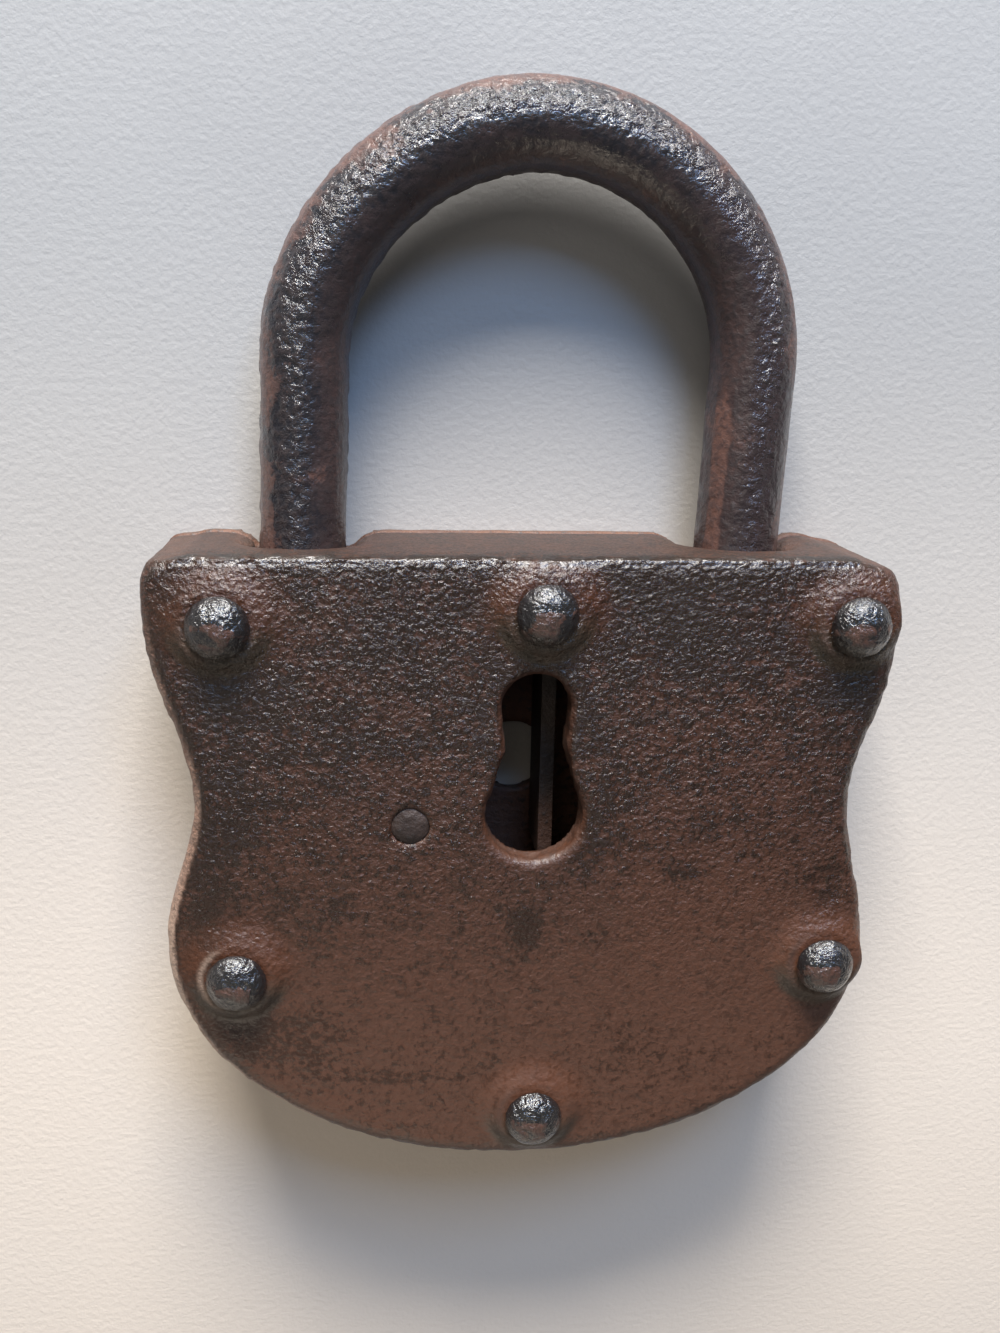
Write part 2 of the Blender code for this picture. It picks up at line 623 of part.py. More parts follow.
def build():
    clear_scene()
    case_iron = make_material("case_iron", (0.095, 0.040, 0.026), 0.55, 0.35)
    plate_iron = make_material("plate_iron", (0.080, 0.038, 0.027), 0.60, 0.35)
    rivet_iron = make_material("rivet_iron", (0.050, 0.035, 0.032), 0.35, 0.60)
    shackle_iron = make_material("shackle_iron", (0.045, 0.030, 0.030), 0.40, 0.55)
    bolt_iron = make_material("bolt_iron", (0.110, 0.060, 0.040), 0.60, 0.50)
    spring_steel = make_material("spring_steel", (0.130, 0.110, 0.100), 0.45, 0.80)

    make_front_case(case_iron)
    make_back_plate(plate_iron)
    for name, centre in RIVETS.items():
        make_rivet(name, centre, rivet_iron)
    make_shackle(shackle_iron)
    make_stop_pin(bolt_iron)
    make_bolt(bolt_iron)
    make_bolt_stud(rivet_iron)
    make_nose_stud(bolt_iron)
    make_spring(spring_steel)


build()
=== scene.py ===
"""Looks of the rusty cast-iron padlock: camera, pale floor, soft light, worn skins and their materials.

Places on the lock are given in lock millimetres, as in the part's source: X right, Y up with Y = 0 at the
top edge of the front face, Z from the back to the front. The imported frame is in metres.
"""

import math

import bmesh
import bpy
import numpy as np
from mathutils import Matrix, Vector, noise


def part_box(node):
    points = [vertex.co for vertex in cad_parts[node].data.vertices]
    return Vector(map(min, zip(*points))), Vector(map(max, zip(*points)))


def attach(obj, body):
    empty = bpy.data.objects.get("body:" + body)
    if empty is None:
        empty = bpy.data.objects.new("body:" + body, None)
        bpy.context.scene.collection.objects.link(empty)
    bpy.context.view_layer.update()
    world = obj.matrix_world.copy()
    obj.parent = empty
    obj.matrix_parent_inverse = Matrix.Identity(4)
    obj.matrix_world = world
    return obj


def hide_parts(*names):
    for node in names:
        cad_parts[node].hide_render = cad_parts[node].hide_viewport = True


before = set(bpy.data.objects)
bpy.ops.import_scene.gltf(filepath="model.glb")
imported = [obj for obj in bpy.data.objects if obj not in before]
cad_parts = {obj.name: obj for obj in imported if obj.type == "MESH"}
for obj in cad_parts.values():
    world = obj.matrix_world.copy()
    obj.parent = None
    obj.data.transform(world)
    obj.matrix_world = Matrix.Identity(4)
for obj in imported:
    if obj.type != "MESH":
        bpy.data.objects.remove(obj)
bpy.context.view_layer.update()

PER_METRE = 1000.0
ORIGIN = (-0.75, -15.8625, 0.0)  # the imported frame's origin, in lock millimetres
FAR = 99.0
FACE_Z = 27.0
LEG_Z = 9.6  # the middle of the shackle's bar
LEAN = math.radians(1.7)  # the shackle's lean to the right
SHACKLE_SHIFT = -0.52  # the middle between the legs, at the top edge
ARCH_HEIGHT = 27.6  # the centre of the hoop's bend
KEY_X = 0.2
STUD_SPOT = (-18.3, -39.9)
BLACK = (0.016, 0.013, 0.013)
RIVETS = {
    "rivet_top_left": (-44.9, -9.2),
    "rivet_top_centre": (1.1, -7.4),
    "rivet_top_right": (47.1, -9.2),
    "rivet_side_left": (-44.3, -63.5),
    "rivet_side_right": (46.5, -63.5),
    "rivet_bottom": (1.1, -88.8),
}


# ---------------------------------------------------------------- shader helper
class Look:
    """Writes one node material. Places are in lock millimetres."""

    def __init__(self, name):
        self.material = bpy.data.materials.new(name)
        self.material.use_nodes = True
        self.tree = self.material.node_tree
        self.tree.nodes.clear()
        self.output = self.add("ShaderNodeOutputMaterial")
        self.shader = self.add("ShaderNodeBsdfPrincipled")
        self.tree.links.new(self.shader.outputs["BSDF"], self.output.inputs["Surface"])
        here = self.add("ShaderNodeTexCoord").outputs["Object"]
        scale = self.add("ShaderNodeVectorMath", operation="MULTIPLY_ADD")
        self.put(scale.inputs[0], here)
        scale.inputs[1].default_value = (PER_METRE, PER_METRE, PER_METRE)
        scale.inputs[2].default_value = ORIGIN
        self.place = scale.outputs[0]
        split = self.add("ShaderNodeSeparateXYZ")
        self.put(split.inputs[0], self.place)
        self.x, self.y, self.z = split.outputs

    def add(self, kind, **settings):
        node = self.tree.nodes.new(kind)
        for key, value in settings.items():
            setattr(node, key, value)
        return node

    def put(self, socket, value):
        if isinstance(value, bpy.types.NodeSocket):
            self.tree.links.new(value, socket)
        elif isinstance(value, (tuple, list)) and len(value) == 3 and socket.type == "RGBA":
            socket.default_value = (*value, 1.0)
        else:
            socket.default_value = value

    def maths(self, operation, a, b):
        node = self.add("ShaderNodeMath", operation=operation)
        self.put(node.inputs[0], a)
        self.put(node.inputs[1], b)
        return node.outputs[0]

    def times(self, a, b):
        return self.maths("MULTIPLY", a, b)

    def less(self, a, b):
        return self.maths("SUBTRACT", a, b)

    def most(self, *terms):
        top = terms[0]
        for term in terms[1:]:
            top = self.maths("MAXIMUM", top, term)
        return top

    def plus(self, *terms):
        total = terms[0]
        for term in terms[1:]:
            total = self.maths("ADD", total, term)
        return total

    def span(self, value, low, high, start=0.0, end=1.0):
        """Eases from start to end while the value goes from low to high."""
        node = self.add("ShaderNodeMapRange", interpolation_type="SMOOTHSTEP", clamp=True)
        for socket, item in zip(node.inputs, (value, low, high, start, end)):
            self.put(socket, item)
        return node.outputs[0]

    def mix(self, factor, a, b):
        """A colour between two."""
        node = self.add("ShaderNodeMix", data_type="RGBA")
        self.put(node.inputs[0], factor)
        self.put(node.inputs[6], a)
        self.put(node.inputs[7], b)
        return node.outputs[2]

    def blend(self, factor, a, b):
        """A number between two."""
        node = self.add("ShaderNodeMix", data_type="FLOAT")
        self.put(node.inputs[0], factor)
        self.put(node.inputs[2], a)
        self.put(node.inputs[3], b)
        return node.outputs[0]

    def moved(self, stretch, seed):
        """The place that a texture reads, so that two textures never match."""
        node = self.add("ShaderNodeVectorMath", operation="MULTIPLY_ADD")
        self.put(node.inputs[0], self.place)
        node.inputs[1].default_value = stretch
        node.inputs[2].default_value = seed
        return node.outputs[0]

    def noise(self, scale, detail=4.0, rough=0.6, seed=(0, 0, 0), stretch=(1, 1, 1), twist=0.0):
        """Noise with that many features to the millimetre."""
        node = self.add("ShaderNodeTexNoise")
        self.put(node.inputs["Vector"], self.moved(stretch, seed))
        node.inputs["Scale"].default_value = scale
        node.inputs["Detail"].default_value = detail
        node.inputs["Roughness"].default_value = rough
        node.inputs["Distortion"].default_value = twist
        return node.outputs["Fac"]

    def cells(self, scale, seed):
        """Rounded cells, with that many to the millimetre."""
        node = self.add("ShaderNodeTexVoronoi", feature="SMOOTH_F1")
        self.put(node.inputs["Vector"], self.moved((1, 1, 1), seed))
        node.inputs["Scale"].default_value = scale
        node.inputs["Smoothness"].default_value = 0.35
        return node.outputs["Distance"]

    def mark(self, name):
        """A mask that the skin carries on its points."""
        return self.add("ShaderNodeAttribute", attribute_name=name).outputs["Fac"]

    def finish(self, colour, roughness, height, tone=(1, 1, 1), **fixed):
        """Height is in millimetres. Tone and the fixed values are the same all over the surface."""
        toned = self.add("ShaderNodeVectorMath", operation="MULTIPLY")
        self.put(toned.inputs[0], colour)
        toned.inputs[1].default_value = tone
        self.put(self.shader.inputs["Base Color"], toned.outputs[0])
        self.put(self.shader.inputs["Roughness"], roughness)
        bump = self.add("ShaderNodeBump")
        bump.inputs["Distance"].default_value = 1 / PER_METRE
        self.put(bump.inputs["Height"], height)
        self.put(self.shader.inputs["Normal"], bump.outputs[0])
        self.put(self.shader.inputs["Coat Normal"], bump.outputs[0])
        for name, value in fixed.items():
            self.put(self.shader.inputs[name.replace("_", " ")], value)
        return self.material


# ---------------------------------------------------------------- materials
def case_look():
    """Brown oxide speckled with black: sand-cast grain, orange halos round the rivets, and sides painted pale
    as if lit, palest low on the left.
    """
    look = Look("case_iron")
    grain = look.noise(0.9, 4, 0.62, twist=0.4)
    speck = look.noise(2.2, 3, 0.6, seed=(7, 3, 1))
    patch = look.noise(0.22, 5, 0.66, seed=(40, 11, 5))
    cloud = look.noise(0.035, 3, 0.5, seed=(3, 9, 20))
    streak = look.noise(0.6, 4, 0.6, seed=(1, 5, 9), stretch=(0.35, 1.3, 1))
    soot, halo, crescent = look.mark("soot"), look.mark("halo"), look.mark("crescent")
    top, side, rim, gleam = look.mark("top"), look.mark("side"), look.mark("rim"), look.mark("gleam")

    level = look.plus(look.times(grain, 0.60), look.times(speck, 0.26), look.times(patch, 0.34))
    level = look.plus(level, look.times(streak, 0.14), look.times(soot, 0.15))
    dark = look.span(level, 0.70, 0.83)
    dark = look.times(dark, look.span(look.y, -80, -35, 0.75, 1.0))
    fleck = look.span(look.noise(0.75, 3, 0.55, seed=(31, 8, 2), twist=0.6), 0.51, 0.70)
    fleck = look.times(fleck, look.span(look.y, -85, -30, 0.36, 0.75))
    plain = look.most(look.times(halo, 0.25), top, rim)
    dark = look.times(look.most(dark, fleck), look.less(1.0, look.times(plain, 0.9)))
    fringe = look.span(look.plus(patch, look.times(grain, 0.5)), 0.62, 0.86)
    shade = look.span(patch, 0.35, 0.65)

    brown = look.mix(look.span(cloud, 0.35, 0.65), (0.084, 0.034, 0.020), (0.066, 0.027, 0.0165))
    brown = look.mix(look.span(look.y, -30, -88), brown, (0.134, 0.067, 0.048))
    brown = look.mix(look.span(grain, 0.42, 0.62, 0, 0.45), brown, (0.120, 0.050, 0.028))
    colour = look.mix(look.times(dark, 0.84), brown, (0.016, 0.012, 0.011))
    colour = look.mix(look.times(look.times(halo, fringe), 0.34), colour, (0.175, 0.070, 0.036))
    dull = look.mix(look.span(patch, 0.4, 0.6), (0.062, 0.056, 0.045), (0.095, 0.070, 0.052))
    colour = look.mix(look.times(crescent, 0.8), colour, dull)
    upper = look.mix(look.span(grain, 0.40, 0.62), (0.078, 0.036, 0.023), (0.046, 0.021, 0.013))
    rise = look.span(look.z, 20, FACE_Z, 0, 0.07)
    spots = look.plus(look.times(speck, 0.8), look.times(patch, 0.35), rise)
    upper = look.mix(look.span(spots, 0.58, 0.68), upper, (0.022, 0.016, 0.014))
    colour = look.mix(top, colour, upper)
    # Painted light: the sides are pale where they face left and down, palest low on the left, while the upper
    # left keeps the side's plain dark brown.
    band = look.mix(shade, (0.40, 0.29, 0.26), (0.26, 0.165, 0.14))
    lit_lower_left = look.times(look.span(look.y, -42, -66), look.span(look.x, 10, -20))
    band = look.mix(lit_lower_left, band, (0.66, 0.56, 0.54))
    worn = look.mix(shade, (0.120, 0.066, 0.052), (0.070, 0.038, 0.030))
    band = look.mix(look.times(look.span(look.y, -6, -18), look.span(look.x, -20, -36)), worn, band)
    band = look.mix(look.times(look.span(level, 0.72, 0.80), 0.5), band, (0.080, 0.058, 0.050))
    colour = look.mix(side, colour, band)
    raw = look.mix(look.span(grain, 0.38, 0.62), (0.120, 0.046, 0.020), (0.066, 0.029, 0.018))
    colour = look.mix(look.times(look.times(rim, fringe), 0.9), colour, raw)
    colour = look.mix(look.mark("line"), colour, BLACK)
    colour = look.mix(look.times(gleam, 0.7), colour, (0.040, 0.032, 0.030))

    rough = look.blend(dark, 0.46, 0.20)
    rough = look.plus(rough, look.span(look.y, -40, -80, 0.0, 0.08))
    rough = look.blend(look.most(side, top, rim), rough, 0.60)
    rough = look.plus(rough, look.span(speck, 0.35, 0.65, -0.05, 0.06))
    rough = look.blend(gleam, rough, 0.19)

    pebble = look.cells(1.1, (2, 4, 6))
    fine = look.noise(1.3, 4, 0.62, seed=(12, 6, 1), twist=0.3)
    lumps = look.plus(look.times(grain, 0.30), look.times(fine, 0.34), look.times(speck, 0.18),
                      look.times(pebble, -0.18))
    lumps = look.times(lumps, look.span(gleam, 0, 1, 1.0, 0.55))
    calm = look.times(look.span(look.y, -85, -30, 0.28, 1.0), look.less(1.0, look.times(plain, 0.55)))
    return look.finish(colour, rough, look.times(lumps, calm), tone=(0.58, 0.48, 0.37),
                       Specular_IOR_Level=0.48, Coat_Weight=0.2, Coat_Roughness=0.15)


def plate_look():
    """Back plate: flat brown rust with darker rubbed streaks and scattered pits."""
    look = Look("plate_iron")
    grain = look.noise(0.8, 5, 0.6, seed=(9, 1, 4))
    patch = look.noise(0.09, 5, 0.62, seed=(20, 3, 2))
    speck = look.noise(2.6, 3, 0.6, seed=(17, 3, 1))
    rub = look.noise(0.5, 4, 0.6, seed=(5, 2, 2), stretch=(0.12, 1.2, 1))
    brown = look.mix(look.span(patch, 0.38, 0.62), (0.115, 0.050, 0.032), (0.165, 0.072, 0.040))
    level = look.plus(look.times(grain, 0.5), look.times(patch, 0.3), look.times(rub, 0.3))
    dark = look.span(level, 0.56, 0.66)
    colour = look.mix(look.times(dark, 0.88), brown, (0.022, 0.018, 0.018))
    colour = look.mix(look.span(speck, 0.62, 0.72, 0, 0.7), colour, (0.27, 0.11, 0.045))
    colour = look.mix(look.times(look.mark("side"), 0.75), colour, (0.135, 0.088, 0.068))
    rough = look.blend(dark, 0.60, 0.42)
    height = look.plus(look.times(grain, 0.34), look.times(speck, 0.08), look.times(rub, 0.10))
    return look.finish(colour, rough, height, tone=(0.70, 0.66, 0.62))


def rivet_look():
    """Peened domes: black and glossy, with a brown patch on the crown and a dull lower side."""
    look = Look("rivet_iron")
    grain = look.noise(1.1, 4, 0.6, seed=(4, 4, 4))
    patch = look.noise(0.33, 4, 0.62, seed=(13, 2, 8), twist=0.5)
    crown, low, shine = look.mark("crown"), look.mark("low"), look.mark("shine")
    brown = look.mix(look.span(grain, 0.4, 0.6), (0.088, 0.040, 0.027), (0.056, 0.031, 0.024))
    bare = look.span(look.plus(patch, look.times(crown, 0.16), look.times(shine, -0.14)), 0.545, 0.62)
    colour = look.mix(bare, (0.014, 0.013, 0.014), brown)
    grey = look.mix(look.span(patch, 0.4, 0.6), (0.070, 0.066, 0.056), (0.045, 0.042, 0.038))
    colour = look.mix(look.times(low, 0.7), colour, grey)
    rough = look.blend(bare, 0.17, 0.40)
    pebble = look.cells(0.9, (5, 6, 3))
    height = look.plus(look.times(grain, 0.44), look.times(patch, 0.5), look.times(pebble, -0.15))
    return look.finish(colour, rough, height, tone=(0.72, 0.68, 0.66),
                       Coat_Weight=0.9, Coat_Roughness=0.14)


def shackle_look():
    """Black bar with a glossy lumpy front ridge, dark brown inside and dusty brown along the outer rim."""
    look = Look("shackle_iron")
    grain = look.noise(0.95, 4, 0.62, seed=(6, 8, 2), twist=0.3)
    speck = look.noise(2.4, 3, 0.6, seed=(17, 3, 1))
    patch = look.noise(0.13, 5, 0.62, seed=(11, 2, 8))
    outer, ridge, stripe = look.mark("outer"), look.mark("ridge"), look.mark("stripe")
    mottle = look.span(grain, 0.4, 0.62)
    black = look.mix(mottle, (0.016, 0.016, 0.020), (0.034, 0.027, 0.027))
    umber = look.mix(mottle, (0.060, 0.036, 0.031), (0.036, 0.026, 0.025))
    brown = look.mix(mottle, (0.135, 0.068, 0.049), (0.078, 0.044, 0.036))
    ragged = look.plus(look.times(look.less(patch, 0.5), 1.5), look.times(look.less(grain, 0.5), 0.7))
    worn = look.span(look.plus(look.x, look.times(ragged, 60)), 0, 40, 0.0, 0.55)
    colour = look.mix(worn, black, umber)
    inside = look.span(look.plus(look.times(outer, -1.0), ragged), 0.05, 0.7, 0.0, 0.9)
    colour = look.mix(inside, colour, umber)
    rusty = look.span(look.plus(outer, ragged), 0.68, 0.92)
    striped = look.span(look.plus(stripe, ragged), 0.45, 0.75)
    chipped = look.span(look.plus(patch, look.times(speck, 0.25)), 0.74, 0.82, 0, 0.6)
    bared = look.most(rusty, striped, chipped)
    colour = look.mix(bared, colour, brown)
    rough = look.blend(look.most(bared, look.times(inside, 0.8)), 0.17, 0.48)
    rough = look.plus(rough, look.span(speck, 0.35, 0.65, -0.04, 0.05))
    pebble = look.cells(0.8, (5, 1, 3))
    lumps = look.plus(look.times(grain, 0.55), look.times(speck, 0.08), look.times(pebble, -0.2))
    height = look.times(lumps, look.plus(0.30, look.times(ridge, 0.95)))
    return look.finish(colour, rough, height, tone=(0.72, 0.68, 0.70),
                       Coat_Weight=0.45, Coat_Roughness=0.14)


def inner_look(name, seed, tone, rust=0.0):
    """Dusty brown ironwork inside the case. Rust is how orange its lower part is."""
    look = Look(name)
    grain = look.noise(0.9, 5, 0.62, seed=seed)
    patch = look.noise(0.14, 4, 0.6, seed=seed)
    speck = look.noise(3.0, 3, 0.6, seed=seed)
    light = tuple(value * 1.7 for value in tone)
    colour = look.mix(look.span(patch, 0.38, 0.62), tone, light)
    colour = look.mix(look.span(look.y, -36, -46, 0, rust), colour, (0.11, 0.048, 0.026))
    colour = look.mix(look.span(grain, 0.55, 0.68, 0, 0.8), colour, (0.025, 0.02, 0.018))
    rough = look.span(speck, 0.35, 0.65, 0.5, 0.68)
    height = look.plus(look.times(grain, 0.32), look.times(speck, 0.06))
    return look.finish(colour, rough, height, tone=(0.8, 0.75, 0.7))


def steel_look():
    """Browned flat spring with fine lengthwise scratches."""
    look = Look("spring_steel")
    draw = look.noise(1.2, 4, 0.6, stretch=(0.15, 1, 3))
    patch = look.noise(0.3, 4, 0.6, seed=(3, 3, 3))
    colour = look.mix(look.span(patch, 0.42, 0.6), (0.16, 0.14, 0.13), (0.14, 0.065, 0.04))
    rough = look.span(draw, 0.35, 0.65, 0.32, 0.5)
    return look.finish(colour, rough, look.times(draw, 0.12), Metallic=0.8)


def floor_look():
    """Plain pale paint, warmer towards the viewer."""
    look = Look("floor_paint")
    cloud = look.noise(0.012, 3, 0.5)
    tooth = look.noise(0.9, 4, 0.6)
    colour = look.mix(look.span(look.y, -110, 60), (0.64, 0.56, 0.475), (0.275, 0.275, 0.275))
    colour = look.mix(look.span(cloud, 0.4, 0.6, 0, 0.05), colour, (0.6, 0.59, 0.57))
    return look.finish(colour, 0.72, look.times(tooth, 0.12))


# ---------------------------------------------------------------- shape helpers
def smooth(value, low, high):
    t = np.clip((value - low) / (high - low), 0, 1)
    return t * t * (3 - 2 * t)


def wave(points, size, seed):
    """Noise from 0 to 1 at each point, with features of that size in millimetres."""
    shift = Vector(seed)
    return np.array([0.5 + 0.5 * noise.noise(Vector(p) / size + shift) for p in points])


def pits(points, least, *layers):
    """Depth of a cast skin: a least depth, and layers of noise with an amount, a size and a seed each."""
    depth = least
    for amount, size, seed in layers:
        depth = depth + amount * wave(points, size, seed)
    return depth


def to_lock(points):
    return points * PER_METRE + np.array(ORIGIN)


def to_frame(points):
    return (points - np.array(ORIGIN)) / PER_METRE


def relax(points, edges, rounds, weight):
    """Moves each point towards the middle of its neighbours, by its own weight."""
    count = np.bincount(edges.ravel(), minlength=len(points))[:, None]
    for _ in range(rounds):
        total = np.zeros_like(points)
        np.add.at(total, edges[:, 0], points[edges[:, 1]])
        np.add.at(total, edges[:, 1], points[edges[:, 0]])
        points = points + weight[:, None] * (total / np.maximum(count, 1) - points)
    return points


def skin(node, body, voxel, shape, material, spare=0.0):
    """A fine cast skin made from a CAD node's own solid. It leaves that node's box by the spare at most."""
    low, high = (np.array(corner) + side * spare / PER_METRE for corner, side in zip(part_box(node), (-1, 1)))
    bm = bmesh.new()
    bm.from_mesh(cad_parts[node].data)
    bmesh.ops.remove_doubles(bm, verts=bm.verts, dist=1e-7)
    coarse = bpy.data.meshes.new(node + "_coarse")
    bm.to_mesh(coarse)
    bm.free()
    piece = bpy.data.objects.new(node + "_skin", coarse)
    bpy.context.scene.collection.objects.link(piece)
    step = piece.modifiers.new("skin", "REMESH")
    step.mode = "VOXEL"
    step.voxel_size = voxel * 1 / PER_METRE
    mesh = bpy.data.meshes.new_from_object(piece.evaluated_get(bpy.context.evaluated_depsgraph_get()))
    piece.modifiers.clear()
    piece.data = mesh
    mesh.name = node + "_skin"

    count = len(mesh.vertices)
    points, normals = np.empty(count * 3), np.empty(count * 3)
    mesh.vertices.foreach_get("co", points)
    mesh.vertex_normals.foreach_get("vector", normals)
    edges = np.empty(len(mesh.edges) * 2, dtype=np.int64)
    mesh.edges.foreach_get("vertices", edges)
    points, normals, edges = points.reshape(-1, 3), normals.reshape(-1, 3), edges.reshape(-1, 2)
    points, marks = shape(to_lock(points), normals, edges)
    points = np.clip(to_frame(points), low, high)
    mesh.vertices.foreach_set("co", points.ravel())
    for name, values in marks.items():
        mesh.attributes.new(name, "FLOAT", "POINT").data.foreach_set("value", values.astype(np.float32))
    mesh.polygons.foreach_set("use_smooth", np.ones(len(mesh.polygons), dtype=bool))
    mesh.materials.clear()
    mesh.materials.append(material)
    mesh.update()
    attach(piece, body)
    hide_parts(node)
    return piece


# ---------------------------------------------------------------- the case
SLOT_Y, SLOT_RADIUS = -21.7, 4.6
HOLE_Y, HOLE_RADIUS = -38.4, 6.9
NECK_LEVELS = (HOLE_Y, -33.0, -28.2, SLOT_Y)
NECK_HALVES = (HOLE_RADIUS, 4.6, 4.05, SLOT_RADIUS)
COLLAR_REACH = (5.0, 5.5, 6.2, 6.9, 7.15)
COLLAR_HEIGHT = (1.2, 0.65, 0.3, 0.1, 0.0)
FILLET_HEIGHT = 1.34
FILLET_REACH = 10.5
DENT_X, DENT_Y = 46.8, -50.6
NICK_Y, NICK_Z = -6.4, 23.0
CREASE_REACH = 6.9
BEVEL_Y, BEVEL_Z = 0.643, 0.766  # the worn top edge faces this way
CLEAN_X, CLEAN_Y, CLEAN_WIDE, CLEAN_HIGH = 30, -62, 26, 16

# Soft black patches on the face: x, y, half width, half height, strength.
SOOT = [
    (-43.0, -18.5, 8.0, 4.5, 0.7), (-46.5, -42.0, 4.0, 15.0, 0.5), (-42.0, -33.0, 8.0, 12.0, 0.35),
    (-20.0, -10.0, 6.0, 7.0, 0.5), (-7.0, -5.5, 6.0, 3.0, 0.6), (-8.0, -21.0, 6.0, 10.0, 0.4),
    (14.0, -3.0, 14.0, 4.0, 0.8), (22.0, -11.5, 8.0, 5.0, 0.55), (6.8, -24.0, 3.5, 6.0, 0.65),
    (9.5, -40.0, 5.0, 8.0, 0.7), (45.5, -19.0, 5.0, 3.0, 0.9), (23.5, -48.0, 3.0, 1.6, 0.8),
    (30.0, -10.0, 20.0, 10.0, 0.35), (-0.8, -57.0, 2.6, 4.2, 1.5), (-37.0, -76.0, 9.0, 4.5, 0.7),
    (-19.0, -81.5, 13.0, 1.6, 0.6), (-49.0, -58.0, 3.0, 13.0, 0.9), (-46.0, -70.0, 4.0, 8.0, 0.8),
    (-33.0, -54.0, 8.0, 6.0, 0.45), (-41.0, -71.5, 7.0, 2.4, 0.7), (46.5, -53.5, 3.6, 6.5, 0.75),
    (9.7, -58.5, 2.2, 2.4, 0.7), (18.0, -77.0, 6.0, 7.0, 0.4), (-5.5, -78.0, 1.6, 9.0, 0.25),
    (51.0, -30.0, 3.0, 12.0, 0.6), (-28.0, -27.0, 9.0, 6.0, 0.35), (1.1, -13.4, 7.0, 3.0, 0.9),
    (28.0, -1.0, 30.0, 2.2, 0.7), (-25.0, -1.0, 28.0, 1.8, 0.6), (-51.5, -7.0, 2.2, 6.0, 0.7),
]


def keyhole_gap(x, y):
    """Distance outside the keyhole's outline."""
    slot = np.hypot(x - KEY_X, y - SLOT_Y) - SLOT_RADIUS
    hole = np.hypot(x - KEY_X, y - HOLE_Y) - HOLE_RADIUS
    neck = np.abs(x - KEY_X) - np.interp(y, NECK_LEVELS, NECK_HALVES)
    neck = np.where((y < SLOT_Y) & (y > HOLE_Y), neck, FAR)
    return np.minimum(np.minimum(slot, hole), neck)


def round_rivets(p, n):
    """Reach to the nearest rivet, what its collar gains in height, and the dull and the rusty ring."""
    x, y, z = p.T
    away = np.full(len(p), FAR)
    lift, crescent, halo = np.zeros((3, len(p)))
    near = z > FACE_Z - 3.4
    for cx, cy in RIVETS.values():
        dx, dy = x - cx, y - cy
        r = np.hypot(dx, dy)
        below = smooth(-dy / np.maximum(r, 0.1), -0.15, 0.65)
        collar = np.interp(r, COLLAR_REACH, COLLAR_HEIGHT)
        skirt = FILLET_HEIGHT * (1 - smooth(r, 5.5, 7.6))
        fillet = FILLET_HEIGHT * (1 - smooth(r, 4.4, 10.0)) ** 1.25
        want = skirt * below + fillet * (1 - below)
        here = (r > 2.35) * smooth(n[:, 2], 0.1, 0.4) * (z > FACE_Z - 3)
        lift += here * np.where(r < FILLET_REACH, want - collar, 0)
        away = np.minimum(away, r)
        crescent = np.maximum(crescent, near * below * smooth(r, 3.8, 5.2) * (1 - smooth(r, 7.2, 8.0)))
        halo = np.maximum(halo, near * (1 - 0.8 * below) * (1 - smooth(r, 6.5, 11.5)))
    return away, lift, crescent, halo


def soot_on(x, y):
    """How much black oxide lies there: more towards the top, least in the clean patch on the right."""
    soot = 0.22 + 0.48 * smooth(y, -70, -12)
    for cx, cy, rx, ry, strength in SOOT:
        soot += strength * np.exp(-(((x - cx) / rx) ** 2 + ((y - cy) / ry) ** 2) * 1.1)
    clean = 1 - smooth(np.hypot((x - CLEAN_X) / CLEAN_WIDE, (y - CLEAN_Y) / CLEAN_HIGH), 0.5, 1.2)
    return soot - 0.5 * clean


